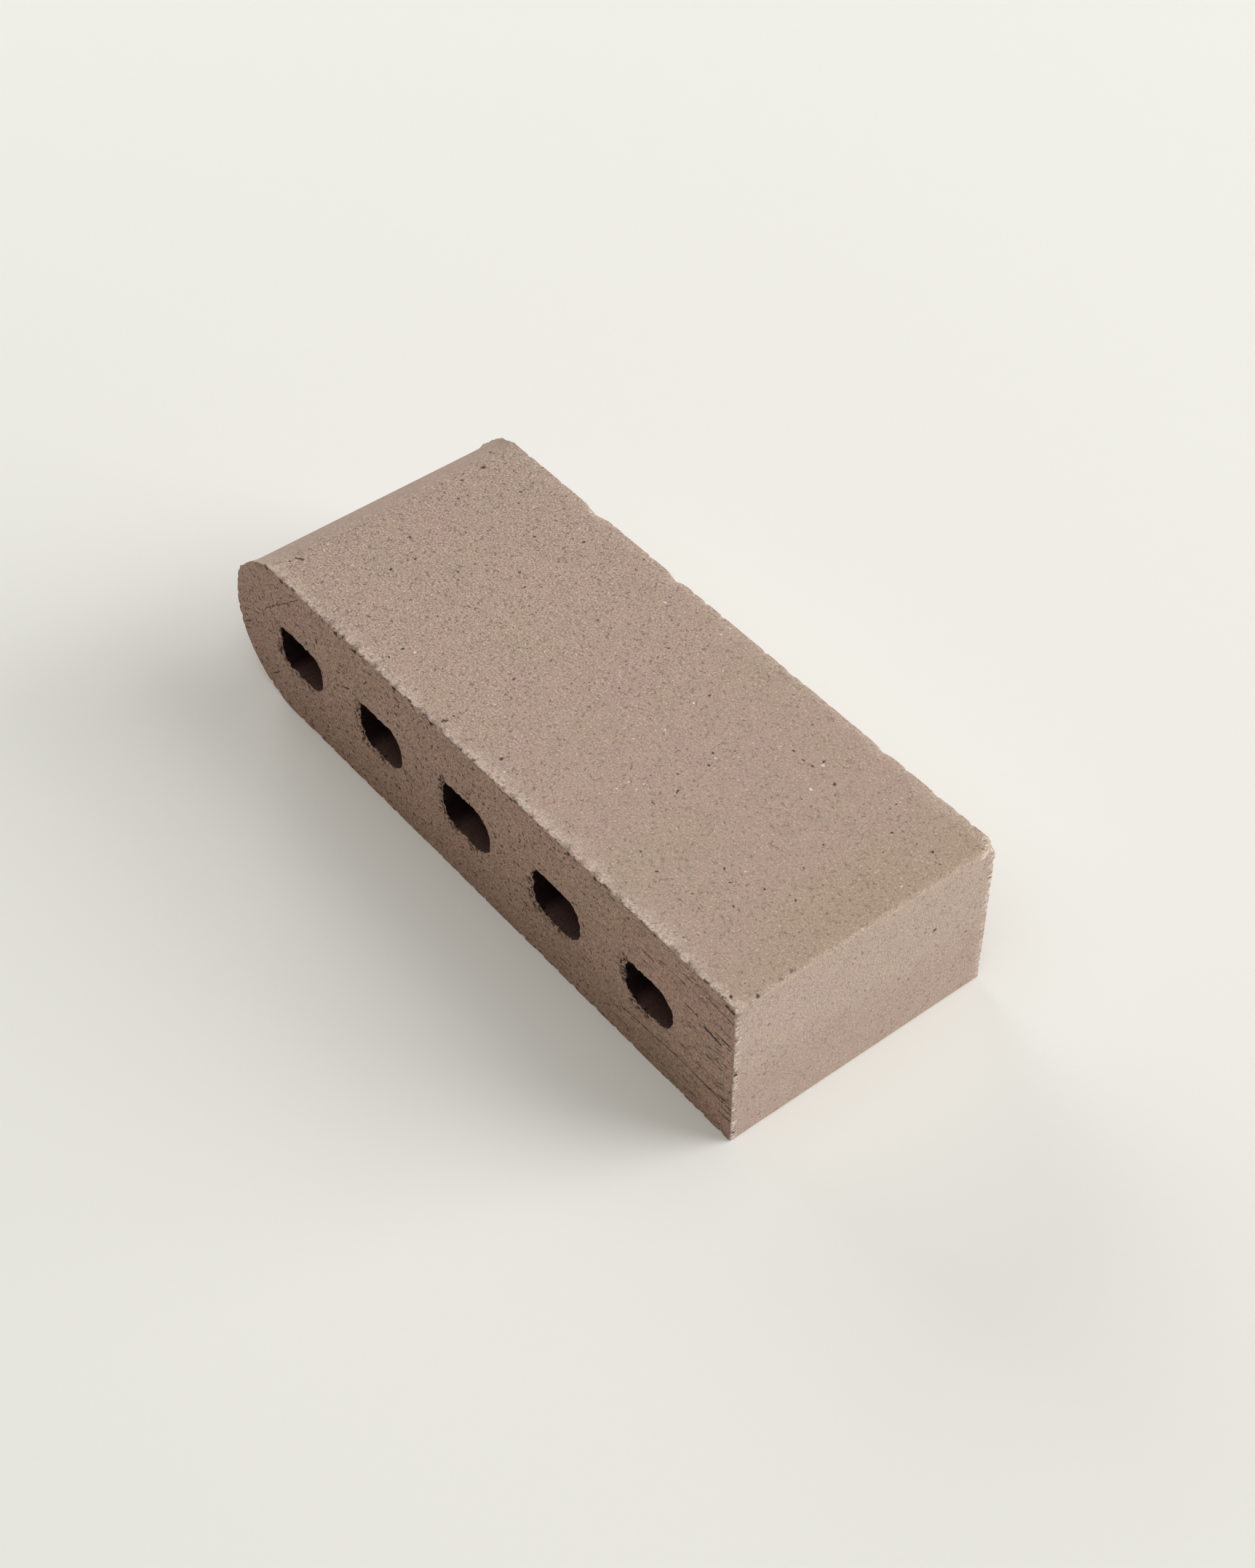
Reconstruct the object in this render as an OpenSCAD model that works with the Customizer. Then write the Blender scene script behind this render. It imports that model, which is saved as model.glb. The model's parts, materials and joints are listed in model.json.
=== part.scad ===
// Bullnose clay paver: one extruded and wire-cut piece of fired clay.
// It lies on its bed with its length along X: the round nose is at -X and the square end at +X.
// The cores run through the width, along Y, from one wire-cut face to the other.

/* [Paver] */
// Length over all, from the nose to the square end
paver_length = 229; // [205:1:300]
// Width, from one wire-cut face to the other
paver_width = 89; // [60:1:150]
// Thickness, which is also the diameter of the full-round nose
paver_thickness = 54.5; // [40:0.5:76]
// Radius of the arris between the top and the square end
arris_radius = 1.5; // [0.5:0.5:10]

/* [Cores] */
// Number of cores in the row
core_count = 5; // [1:1:5]
// Distance from the centre of one core to the next
core_pitch = 40.2; // [26:0.1:46]
// Size of a core along the length of the paver
core_length = 20.5; // [12:0.5:32]
// Size of a core through the thickness of the paver
core_height = 15.5; // [11:0.5:26]
// Radius of the four corners of a core
core_corner = 5; // [1:0.5:7.5]

/* [Hidden] */
$fn = 128;

clay_colour = [0.67, 0.59, 0.53];

nose_radius = paver_thickness / 2;
nose_x = nose_radius - paver_length / 2;
square_end_x = paver_length / 2;
mid_height = paver_thickness / 2;
row_start_x = -(core_count - 1) / 2 * core_pitch;

// Side view of the paver without its cores, with the bed on the X axis
module outer_outline() {
    translate([nose_x, mid_height])
        circle(nose_radius);
    translate([nose_x, 0])
        square([square_end_x - arris_radius - nose_x, paver_thickness]);
    translate([nose_x, 0])
        square([square_end_x - nose_x, paver_thickness - arris_radius]);
    translate([square_end_x - arris_radius, paver_thickness - arris_radius])
        circle(arris_radius);
}

// Rounded rectangle about the origin, the mouth of one core
module core_outline() {
    straight_length = core_length - 2 * core_corner;
    straight_height = core_height - 2 * core_corner;
    square([core_length, straight_height], center = true);
    square([straight_length, core_height], center = true);
    for (end = [-1, 1], side = [-1, 1])
        translate([end * straight_length / 2, side * straight_height / 2])
            circle(core_corner);
}

// The row of cores, centred on the length and at mid height
module core_row() {
    for (i = [0 : core_count - 1])
        translate([row_start_x + i * core_pitch, mid_height])
            core_outline();
}

module bullnose_paver() {
    color(clay_colour)
        rotate([90, 0, 0])
            linear_extrude(paver_width, center = true)
                difference() {
                    outer_outline();
                    core_row();
                }
}

bullnose_paver();
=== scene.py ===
"""Looks of the bullnose clay paver: its worn surface, its clay finishes, and the stage that it lies on."""

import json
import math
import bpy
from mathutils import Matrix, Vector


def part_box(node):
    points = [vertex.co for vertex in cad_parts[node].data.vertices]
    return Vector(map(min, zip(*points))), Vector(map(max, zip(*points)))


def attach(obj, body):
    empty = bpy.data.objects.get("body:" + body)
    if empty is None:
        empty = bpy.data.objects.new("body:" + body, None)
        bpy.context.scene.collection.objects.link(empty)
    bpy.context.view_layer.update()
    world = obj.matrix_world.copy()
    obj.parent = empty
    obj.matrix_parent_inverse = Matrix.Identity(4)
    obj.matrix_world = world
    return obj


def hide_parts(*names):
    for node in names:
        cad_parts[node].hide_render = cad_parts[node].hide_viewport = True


bl_info = {
    "name": "Bullnose Clay Paver",
    "version": (1, 0, 0),
    "blender": (4, 5, 0),
    "location": "View3D > Sidebar > Paver",
    "description": "Builds a cored, wire-cut bullnose clay paver and the pale stage that it lies on",
    "category": "Add Mesh",
}

from collections import namedtuple
from functools import reduce
from types import SimpleNamespace

import bpy
import numpy as np
from mathutils import Vector

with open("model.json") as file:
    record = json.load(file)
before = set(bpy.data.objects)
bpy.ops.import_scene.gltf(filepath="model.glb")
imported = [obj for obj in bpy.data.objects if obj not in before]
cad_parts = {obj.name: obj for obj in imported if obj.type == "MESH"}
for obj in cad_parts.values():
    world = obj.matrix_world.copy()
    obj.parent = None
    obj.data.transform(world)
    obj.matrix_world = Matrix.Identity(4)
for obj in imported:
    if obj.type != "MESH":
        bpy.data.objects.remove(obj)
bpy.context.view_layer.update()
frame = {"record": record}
node_low, node_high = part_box("bullnose_paver")
core_boxes = [opening["box_m"] for opening in frame["record"]["physics"]["openings"]]

MM = 0.001
FRONT_Y = node_low.y / MM
TOP_Z = node_high.z / MM

# Mouths of the cores on the front cut face, from the nose to the square end, in millimetres from the
# core's own centre: left, right, lower and upper edge, then the radii of the corners from the upper
# right one round to the lower right one
CORE_MOUTHS = (
    (-10.8, 10.2, -7.9, 6.6, 4.5, 2.5, 5.0, 6.0),
    (-10.8, 9.6, -8.2, 6.8, 6.5, 2.5, 5.5, 6.0),
    (-10.5, 11.0, -8.2, 7.5, 7.0, 3.0, 6.0, 6.5),
    (-9.6, 11.0, -8.2, 7.5, 7.0, 3.0, 6.0, 6.5),
    (-9.6, 9.8, -7.9, 6.6, 7.0, 3.0, 5.5, 7.0),
)

# Notches broken out of the upper edge of the front cut face: place along the length, half width and
# depth, in millimetres
FRONT_NOTCHES = (
    (-94.8, 0.9, 0.7),
    (-87.6, 0.8, 0.8),
    (-59.8, 0.9, 1.1),
    (-50.5, 0.9, 1.0),
    (-31.6, 1.1, 0.9),
    (-14.1, 1.0, 0.8),
    (21.8, 0.8, 0.6),
    (46.8, 0.8, 0.7),
    (57.5, 0.9, 0.7),
    (82.5, 0.8, 0.6),
)

# Shallow scallops out of the upper edge of the back cut face, in the same terms
BACK_NOTCHES = (
    (-54.0, 4.0, 1.0),
    (-17.0, 3.0, 0.9),
    (33.0, 2.0, 0.5),
    (71.0, 2.5, 0.6),
)

# Corners that have broken off: place of the corner, and how much of its edges along X, Y and Z went with
# it, in millimetres
BROKEN_CORNERS = (
    ((114.5, 44.5, 54.5), (2.6, 4.0, 3.3)),
    ((114.5, -44.5, 0.0), (0.8, 0.8, 0.7)),
)

# Gashes that the wire dragged in the front cut face: start and end along the length and above the bed,
# and half width, in millimetres
GASHES = (
    (102.9, 36.4, 108.9, 35.5, 0.65),
    (68.6, 11.9, 92.0, 13.8, 0.30),
    (92.0, 13.8, 114.4, 13.1, 0.34),
    (63.9, 10.2, 68.9, 9.7, 0.30),
    (77.5, 43.6, 82.0, 43.2, 0.30),
    (95.0, 38.6, 100.0, 38.2, 0.30),
    (102.0, 48.8, 114.0, 48.1, 0.25),
    (64.0, 52.4, 66.0, 52.2, 0.30),
    (111.0, 52.9, 113.8, 52.3, 0.70),
    (25.0, 16.0, 30.0, 15.6, 0.25),
    (42.0, 7.1, 44.6, 6.9, 0.25),
    (-97.8, 35.9, -79.4, 51.9, 0.20),
    (-112.0, 20.0, -108.3, 23.0, 0.25),
    (-98.7, 8.2, -94.9, 12.0, 0.25),
    (-59.3, 33.1, -55.3, 35.2, 0.30),
    (108.6, 10.9, 114.4, 10.6, 0.25),
    (109.5, 8.0, 114.4, 7.6, 0.25),
)

# Bare grains where the far corner and the near edge broke: start, end and half width, in millimetres
BARE_BREAKS = (
    ((111.2, 43.5, 54.5), (114.5, 40.0, 52.5), 1.0),
    ((114.5, -44.3, 39.6), (114.5, -42.2, 42.4), 0.5),
)

# Dark spots in the skin: place along the length, across the width and above the bed, and half width,
# in millimetres
SPOTS = (
    (-13.0, -17.0, 54.5, 0.55),
    (46.0, 13.0, 54.5, 0.45),
    (78.0, -28.5, 54.5, 0.35),
    (88.0, -23.0, 54.5, 0.40),
    (98.0, 19.5, 54.5, 0.35),
    (106.0, 29.5, 54.5, 0.45),
    (86.5, 9.0, 54.5, 0.35),
    (114.0, -37.0, 54.1, 0.60),
    (114.5, 24.5, 34.5, 0.65),
    (-91.2, 30.5, 54.2, 0.80),
    (-90.2, 22.0, 54.3, 0.55),
    (-84.1, 16.2, 54.5, 0.45),
    (-70.6, 8.9, 54.5, 0.40),
    (-56.5, 23.4, 54.5, 0.50),
    (-58.3, -3.0, 54.5, 0.45),
    (-47.0, 10.7, 54.5, 0.40),
)

# The row of small pits where the top runs into the nose, and the scratch beside it: start, end and half
# width, in millimetres
PIT_ROW = ((-94.4, -36.5, 53.6), (-92.2, -12.0, 54.0), 0.45)
SCRATCH = ((-92.9, -35.7, 54.0), (-90.4, -34.6, 54.3), 0.40)


def metres(name, description, default):
    """A length that a user can change."""
    return bpy.props.FloatProperty(
        name=name, description=description, default=default, min=0.0, precision=5, unit="LENGTH"
    )


def paint(red, green, blue):
    """A colour in linear light from its 8-bit screen values."""
    screen = np.array([red, green, blue]) / 255
    linear = np.where(screen <= 0.04045, screen / 12.92, ((screen + 0.055) / 1.055) ** 2.4)
    return tuple(linear.tolist())


def tint(name, description, default):
    """A colour that a user can change."""
    return bpy.props.FloatVectorProperty(
        name=name, description=description, default=default, min=0.0, max=1.0, size=3, subtype="COLOR"
    )


def degrees(name, description, default):
    """An angle that a user can change, given here in degrees."""
    return bpy.props.FloatProperty(
        name=name, description=description, default=math.radians(default), subtype="ANGLE"
    )


class PaverSizes(bpy.types.PropertyGroup):
    """Sizes of the paver and of its cores, and the steps of its mesh."""

    length: metres("Length", "From the nose to the square end", 2 * node_high.x)
    width: metres("Width", "From one wire-cut face to the other", 2 * node_high.y)
    thickness: metres("Thickness", "Diameter of the full-round nose", node_high.z)
    arris_radius: metres("Arris radius", "Edge between the top and the square end", 1.5 * MM)
    bed_edge_radius: metres("Bed edge radius", "Edge between the square end and the bed", 0.6 * MM)
    cut_edge_radius: metres("Cut edge radius", "Edges of the wire-cut faces before wear", 0.2 * MM)
    rim_radius: metres("Rim radius", "Rims of the cores before wear", 0.2 * MM)
    core_length: metres("Core length", "A core along the length of the paver", 20.5 * MM)
    core_height: metres("Core height", "A core through the thickness", 15.5 * MM)
    core_corner: metres("Core corner", "Radius of a core's four corners", 5.0 * MM)
    mouth_depth: metres("Mouth depth", "Depth in which a mouth runs into its core", 12.0 * MM)
    edge_step: metres("Edge step", "Distance of the mesh's points along the outline", 0.4 * MM)
    web_step: metres("Web step", "Distance of the mesh's points across a web", 1.2 * MM)


class PaverWear(bpy.types.PropertyGroup):
    """Depths of the relief that drying, the wire and the kiln left."""

    chip_depth: metres("Chip depth", "Chips along the wire-cut edges", 0.9 * MM)
    lip_height: metres("Lip height", "Lip that the wire dragged up round the ends of the nose", 0.8 * MM)
    cut_roughness: metres("Cut roughness", "Relief of a wire-cut face", 0.12 * MM)
    drag_depth: metres("Drag depth", "Relief dragged along the cut near the square end", 0.14 * MM)
    rim_jag: metres("Rim jag", "Raggedness of the rims of the cores", 0.55 * MM)
    tear_depth: metres("Tear depth", "Clay torn out beside the rims", 0.9 * MM)
    core_roughness: metres("Core roughness", "Streaks along the walls of the cores", 0.25 * MM)
    skin_waviness: metres("Skin waviness", "Unevenness of the die-formed skin", 0.08 * MM)


class PaverColours(bpy.types.PropertyGroup):
    """Colours of the clay and of what shows in it."""

    rosy_clay: tint("Rosy clay", "Pinker clay of the skin", (0.420, 0.302, 0.250))
    tan_clay: tint("Tan clay", "Browner clay of the skin", (0.403, 0.306, 0.234))
    end_rosy: tint("End rosy clay", "Pinker clay of the square end", (0.463, 0.348, 0.298))
    end_tan: tint("End tan clay", "Browner clay of the square end", (0.449, 0.352, 0.281))
    low_shade: tint("Low shade", "Darkening of the square end towards the bed", (0.93, 0.908, 0.912))
    # Partly painted shade: stains the top beside the square end, and darkens the bright arris below it
    ochre_stain_and_arris_shade: tint("Ochre wash", "Stain on the top beside the square end", (0.382, 0.289, 0.202))
    cut_rosy: tint("Cut rosy clay", "Pinker clay of the cut faces", (0.497, 0.321, 0.258))
    cut_tan: tint("Cut tan clay", "Browner clay of the cut faces", (0.479, 0.330, 0.240))
    # Painted shade: darkens the cut faces towards the bed, where less light reaches them
    cut_bed_painted_shade: tint("Cut shade", "Darkening of the cut faces towards the bed", (0.78, 0.74, 0.70))
    # Painted shade in the cores: near black on the walls, paler on the floors at the mouths
    core_clay: tint("Core clay", "Floors of the cores at their mouths", (0.078, 0.041, 0.035))
    core_wall_painted_shade: tint("Core dark", "Walls of the cores", (0.012, 0.003, 0.004))
    chalk: tint("Chalk", "Bare grains along the worn edges", paint(222, 205, 191))
    smudge: tint("Smudge", "Soft grey grains", paint(96, 83, 75))
    # Black specks are the clay's own; in pits, chips, notches and gashes this colour is painted shade
    cinder_and_hollow_shade: tint("Cinder", "Black specks and the insides of pits", paint(44, 32, 27))
    quartz: tint("Quartz", "White specks", paint(232, 224, 214))
    ochre: tint("Ochre", "Yellow specks", paint(206, 168, 112))
    rust: tint("Rust", "Red-brown specks of the cut faces", paint(116, 66, 52))


class PaverStage(bpy.types.PropertyGroup):
    """Floor, lights and camera."""

    floor_colour: tint("Floor", "Colour of the pale floor", (0.80, 0.795, 0.755))
    warm_colour: tint("Warm light", "Colour of the lights that brighten the shadow", (1.0, 0.985, 0.94))
    fill_colour: tint("Fill colour", "Colour of the light from all round", (1.0, 0.97, 0.93))
    fill_strength: bpy.props.FloatProperty(
        name="Fill", description="Strength of the light from all round", default=0.01, min=0.0
    )
    camera_place: bpy.props.FloatVectorProperty(
        name="Camera", description="Place of the camera", default=(0.42984, -0.33102, 0.58659),
        size=3, subtype="XYZ", unit="LENGTH"
    )
    camera_turn: degrees("Camera turn", "Way round the paver, from straight in front", 51.348)
    camera_rise: degrees("Camera rise", "Height of the view above the floor", 46.649)
    camera_lens: bpy.props.FloatProperty(
        name="Lens", description="Focal length on a sensor 36 mm high", default=63.155,
        subtype="DISTANCE_CAMERA"
    )


# Broad round lights: name, turn from the right of the picture towards the back and rise above the floor
# in degrees, distance in metres, and strength in watts for each square metre of the paver that faces it
LIGHTS = (
    ("side_light", 0, 38, 2.4, 1.13),
    ("low_side_light", 0, 12, 12.0, 2.28),
    ("back_light", 120, 14, 2.4, 1.83),
    ("high_side_light", 30, 65, 12.0, 0.51),
    ("high_front_light", -90, 65, 12.0, 0.79),
    ("high_left_light", 210, 65, 12.0, 0.41),
)
WARM_LIGHTS = ("high_front_light", "high_left_light")

# Breadth of a light in degrees, seen from the paver, and strength of the surround that the camera sees
LIGHT_BREADTH = 45
SURROUND_STRENGTH = 0.8


# The mesh: outlines in the plane of the length and the thickness, with Y across

# A gap larger than any, for points of the skin, and the grid in millimetres on which points are welded,
# with the offset in cells that keeps round sizes away from its borders
FAR = 1000.0
WELD_GRID = 0.001
WELD_OFFSET = 0.37

# The finishes in their order on the mesh, and the rows of each patch with how much they crowd to its ends
SKIN, CUT, CORE = range(3)
SKIN_ROWS = 18
SKIN_CROWDING = 0.96
FRONT_RINGS = 18
BACK_RINGS = 5
RING_CROWDING = 0.75
CORE_ROWS = 8
CORE_CROWDING = 0.9
Patch = namedtuple("Patch", "points rim_gap rim finish flip")


def millimetres(group):
    """The lengths of a property group in millimetres, by name."""
    names = [p.identifier for p in group.bl_rna.properties if p.type == "FLOAT"]
    return SimpleNamespace(**{name: getattr(group, name) / MM for name in names})


def straight(start, end, step):
    """A line in equal steps, its end left out: x, z and the normal to the right of the way it runs."""
    start = np.array(start, float)
    run = np.array(end, float) - start
    reach = np.hypot(*run)
    count = max(1, round(reach / step))
    points = start + np.outer(np.arange(count) / count, run)
    normal = np.array([run[1], -run[0]]) / reach
    return np.column_stack([points, np.tile(normal, (count, 1))])


def bend(centre, radius, start, end, step):
    """An arc between two angles in degrees, its end left out: x, z and the normal along its radius."""
    count = max(2, round(math.radians(end - start) * radius / step))
    angle = np.radians(start + (end - start) * np.arange(count) / count)
    normal = np.column_stack([np.cos(angle), np.sin(angle)])
    return np.column_stack([np.array(centre) + radius * normal, normal])


def web(x, low, high, step):
    """The middle line of a web between two cores, which has no edge of its own and so a zero normal."""
    line = straight((x, low), (x, high), step)
    line[:, 2:] = 0
    return line


def smooth(share):
    """The smooth step of a share from 0 to 1, which is level at both ends."""
    return share * share * (3 - 2 * share)


def crowded(count, crowding):
    """Fractions from 0 to 1 that crowd towards both ends: t less a share of its own sine wave."""
    t = np.arange(count + 1) / count
    return t - crowding * np.sin(2 * math.pi * t) / (2 * math.pi)


def outline_cells(size, core_x):
    """The sides of the cells that the middles of the webs divide the section into.

    Each cell lies round one core and has a top, left, bottom and right side, anticlockwise. The nose
    is divided at its diagonals, and so are the arris and the bed edge of the square end.
    """
    step = size.edge_step
    top = size.thickness
    end_x = size.length / 2
    nose = (top / 2 - end_x, top / 2)
    arris = (end_x - size.arris_radius, top - size.arris_radius)
    foot = (end_x - size.bed_edge_radius, size.bed_edge_radius)
    middles = [(a + b) / 2 for a, b in zip(core_x, core_x[1:])]
    low = size.cut_edge_radius
    high = top - size.cut_edge_radius
    cells = []
    for left_x, right_x in zip([None, *middles], [*middles, None]):
        first = left_x is None
        last = right_x is None
        x0 = nose[0] if first else left_x
        upper = [straight((arris[0] if last else right_x, top), (x0, top), step)]
        lower = [straight((x0, 0), (foot[0] if last else right_x, 0), step)]
        if first:
            upper.append(bend(nose, top / 2, 90, 135, step))
            left = [bend(nose, top / 2, 135, 225, step)]
            lower.insert(0, bend(nose, top / 2, 225, 270, step))
        else:
            left = [web(left_x, high, low, size.web_step)]
        if last:
            upper.insert(0, bend(arris, size.arris_radius, 45, 90, step))
            lower.append(bend(foot, size.bed_edge_radius, 270, 315, step))
            right = [
                bend(foot, size.bed_edge_radius, 315, 360, step),
                straight((end_x, foot[1]), (end_x, arris[1]), step),
                bend(arris, size.arris_radius, 0, 45, step),
            ]
        else:
            right = [web(right_x, low, high, size.web_step)]
        cells.append([np.vstack(side) for side in (upper, left, lower, right)])
    return cells


def spaced(path, close, count):
    """A path's points at equal lengths along it, its end left out, with the point that closes it given."""
    whole = np.vstack([path, close])
    steps = np.hypot(*np.diff(whole[:, :2], axis=0).T)
    along = np.r_[0, np.cumsum(steps)]
    places = along[-1] * np.arange(count) / count
    even = np.column_stack([np.interp(places, along, column) for column in whole.T])
    even[:, 2:] /= np.hypot(even[:, 2], even[:, 3])[:, None]
    return even


def core_outline(centre, edges, radii, counts):
    """A rounded rectangle round a core, in four runs from corner to corner.

    edges are its left, right, lower and upper edge from the centre, and radii those of its corners
    from the upper right one round. Each corner is divided at its diagonal, and each run has as many
    points as its side of the cell.
    """
    fine = 0.05
    left, right, low, high = edges
    x = centre[0] + np.array([right, left, left, right])
    z = centre[1] + np.array([high, high, low, low])
    inward = ((-1, -1), (1, -1), (1, 1), (-1, 1))
    hubs = [(x[i] + inward[i][0] * radii[i], z[i] + inward[i][1] * radii[i]) for i in range(4)]
    halves = [
        [bend(hubs[i], radii[i], turn, turn + 45, fine) for turn in (90 * i, 90 * i + 45)]
        for i in range(4)
    ]
    runs = []
    for i in range(4):
        j = (i + 1) % 4
        turn = math.radians(90 * (i + 1))
        out = np.array([math.cos(turn), math.sin(turn)])
        side = straight(np.add(hubs[i], radii[i] * out), np.add(hubs[j], radii[j] * out), fine)
        runs.append(spaced(np.vstack([halves[i][1], side, halves[j][0]]), halves[j][1][:1], counts[i]))
    return np.vstack(runs)


def fillet(radius):
    """Rows of a quarter-round edge, from the cut face inwards: distances from the cut face and the skin."""
    angle = np.radians([90, 45])
    return radius * (1 - np.sin(angle)), radius * (1 - np.cos(angle))


def across(width, radius, count, crowding):
    """Rows across the width with a quarter-round edge at both ends: Y and the distance from the skin."""
    gap, inset = fillet(radius)
    half = width / 2
    rows = (2 * crowded(count, crowding) - 1) * (half - radius)
    y = np.r_[gap - half, rows, half - gap[::-1]]
    return y, np.r_[inset, np.zeros(len(rows)), inset[::-1]]


def skin_patch(cells, size):
    """The die-formed skin: the outline carried across the width, with a quarter round at the cut edges."""
    sides = [cell[0] for cell in cells[::-1]]
    sides += [cells[0][1], *(cell[2] for cell in cells), cells[-1][3]]
    outline = np.vstack(sides)
    y, inset = across(size.width, size.cut_edge_radius, SKIN_ROWS, SKIN_CROWDING)
    points = np.zeros((len(y), len(outline), 3))
    points[..., 0] = outline[:, 0] - np.outer(inset, outline[:, 2])
    points[..., 1] = y[:, None]
    points[..., 2] = outline[:, 1] - np.outer(inset, outline[:, 3])
    return Patch(points, np.full(points.shape[:2], FAR), np.zeros((len(outline), 4)), SKIN, True)


def cut_patch(cell, rim, y, rings, size):
    """A wire-cut face round one core: straight lines from the cell's border to the rim of the core."""
    border = np.vstack(cell)
    start = border[:, :2] - size.cut_edge_radius * border[:, 2:]
    run = rim[:, :2] + size.rim_radius * rim[:, 2:] - start
    part = crowded(rings, RING_CROWDING)
    points = np.zeros((len(part), len(border), 3))
    points[..., [0, 2]] = start + part[:, None, None] * run
    points[..., 1] = y
    gap = np.outer(1 - part, np.hypot(*run.T))
    return Patch(points, gap, rim, CUT, y > 0)


def core_patch(mouth, bore, size):
    """The wall of one core: its outline carried across the width, from the ragged mouth to an even bore."""
    y, inset = across(size.width, size.rim_radius, CORE_ROWS, CORE_CROWDING)
    depth = y + size.width / 2
    share = smooth(np.clip(1 - depth / size.mouth_depth, 0, 1))[:, None, None]
    wall = bore + share * (mouth - bore)
    points = np.zeros((len(y), len(bore), 3))
    points[..., [0, 2]] = wall[..., :2] + inset[:, None, None] * wall[..., 2:]
    points[..., 1] = y[:, None]
    gap = np.minimum(depth, size.width - depth)
    return Patch(points, np.tile(gap[:, None], (1, len(bore))), mouth, CORE, False)


def patch_faces(patch, start):
    """Four-sided faces of a patch whose columns close round, turned so that they point out of the clay."""
    rows, columns = patch.points.shape[:2]
    corner = start + np.arange(rows * columns).reshape(rows, columns)
    beside = np.roll(corner, -1, axis=1)
    faces = np.stack([corner[:-1], beside[:-1], beside[1:], corner[1:]], axis=-1).reshape(-1, 4)
    return faces[:, ::-1] if patch.flip else faces


def weld(points):
    """For points that coincide, the first of each set, and for every point the place of its set."""
    keys = np.round(points / WELD_GRID + WELD_OFFSET).astype(np.int64)
    _, first, place = np.unique(keys, axis=0, return_index=True, return_inverse=True)
    return first, place.ravel()


def point_normals(points, faces):
    """The mean normal of the faces round each point, larger faces counting for more."""
    corners = points[faces]
    face_normals = np.cross(corners[:, 2] - corners[:, 0], corners[:, 3] - corners[:, 1])
    normals = np.zeros_like(points)
    for i in range(4):
        np.add.at(normals, faces[:, i], face_normals)
    return normals / np.linalg.norm(normals, axis=1)[:, None]


# The relief: smooth noise, chipped edges and torn rims

NOISE_SIDE = 64
NOISE_TABLE = np.random.default_rng(11).uniform(-1, 1, (NOISE_SIDE,) * 3)

# Shifts of the noise, one for each of its uses, so that no two look alike
SHIFT = SimpleNamespace(
    chip=3.1, lip=13.3, pull=17.7, rim=23.9, cut=31.3, drag=41.9,
    tear=53.7, core=61.1, skin=71.9, patch=83.3, corner=91.7,
)

# The lip: angles round the nose in degrees where it begins, is full, starts to fall and ends, and its
# reach from the cut face and from the skin in millimetres
LIP_TURN = (96, 104, 150, 165)
LIP_REACH = 5.0
LIP_INSET = 4.0

# The chips: their fall with the distance from the edge, and their share on edges that have fewer of them
CHIP_SLOPE = 0.7
BACK_CHIPS = 0.5
LIP_CHIPS = 0.2
BED_CHIPS = 0.6
NOSE_CHIPS = 0.5

# The least part of a unit normal that counts as facing a way, and the reach of the sides' normals, of the
# ragged rims, of the torn clay and of the drag marks along the length, in millimetres
FACING = 0.5
SIDE_REACH = 1.2
RIM_REACH = 2.5
TEAR_REACH = 4.0
DRAG_SPAN = (10, 100)


def noise(points, spacing, shift):
    """Smooth noise from -1 to 1: random values on a lattice, blended by a smooth step within each cell."""
    place = points / np.array(spacing) + shift
    cell = np.floor(place).astype(int)
    part = smooth(place - cell)
    total = np.zeros(len(points))
    for corner in np.ndindex(2, 2, 2):
        share = np.prod(np.where(corner, part, 1 - part), axis=1)
        i, j, k = ((cell + corner) % NOISE_SIDE).T
        total += share * NOISE_TABLE[i, j, k]
    return total


def fractal(points, spacing, shift, octaves=3):
    """Noise plus finer noise at half the size and half the strength, and so on."""
    spacing = np.array(spacing, float)
    return sum(noise(points, spacing / 2 ** i, shift + 7.3 * i) / 2 ** i for i in range(octaves))


def fade(distance, reach):
    """1 at no distance, falling to 0 at the reach by a smooth step."""
    return smooth(np.clip(1 - distance / reach, 0, 1))


def section_gap(points, size):
    """Distance of points inside the section from its outline, and the outline's normal beside them.

    The distance is the least of those from the bed, the top and the square end, or along the radius of
    the nose or the arris. The normal mixes the directions of the sides, the nearer ones counting for
    far more.
    """
    x = points[:, 0]
    z = points[:, 2]
    top = size.thickness
    end_x = size.length / 2
    nose_x = top / 2 - end_x
    sides = np.column_stack([z, top - z, end_x - x])
    gap = sides.min(axis=1)
    spread = np.hypot(x - nose_x, z - top / 2)
    gap = np.where(x < nose_x, top / 2 - spread, gap)
    corner = size.arris_radius - sides[:, 1:]
    in_arris = corner.min(axis=1) > 0
    gap = np.where(in_arris, size.arris_radius - np.hypot(*corner.T), gap)
    weight = np.exp(-sides / SIDE_REACH)
    normal = np.column_stack([weight[:, 2], weight[:, 1] - weight[:, 0]])
    round_nose = np.column_stack([x - nose_x, z - top / 2])
    normal = np.where((x < nose_x)[:, None], round_nose, normal)
    normal = np.where(in_arris[:, None], corner, normal)
    return gap, normal / np.maximum(np.linalg.norm(normal, axis=1), 1e-9)[:, None]


def notch_depth(x, notches):
    """Depth of the notches along an edge: for each a bell curve about its place."""
    return sum(depth * np.exp(-((x - place) / half) ** 2) for place, half, depth in notches)


def broken_corner(points, corner, reach):
    """How far points lie outside the flat break of a corner, and the way that the break looks.

    The break goes through three points, one on each edge at its reach from the corner.
    """
    out = np.where(np.array(corner) > 0, 1, -1)
    look = out / np.array(reach)
    size = np.linalg.norm(look)
    uneven = 0.25 * fractal(points, 1.1, SHIFT.corner, 2)
    return np.clip(((points - np.array(corner)) @ look + 1) / size + uneven, 0, None), look / size


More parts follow.
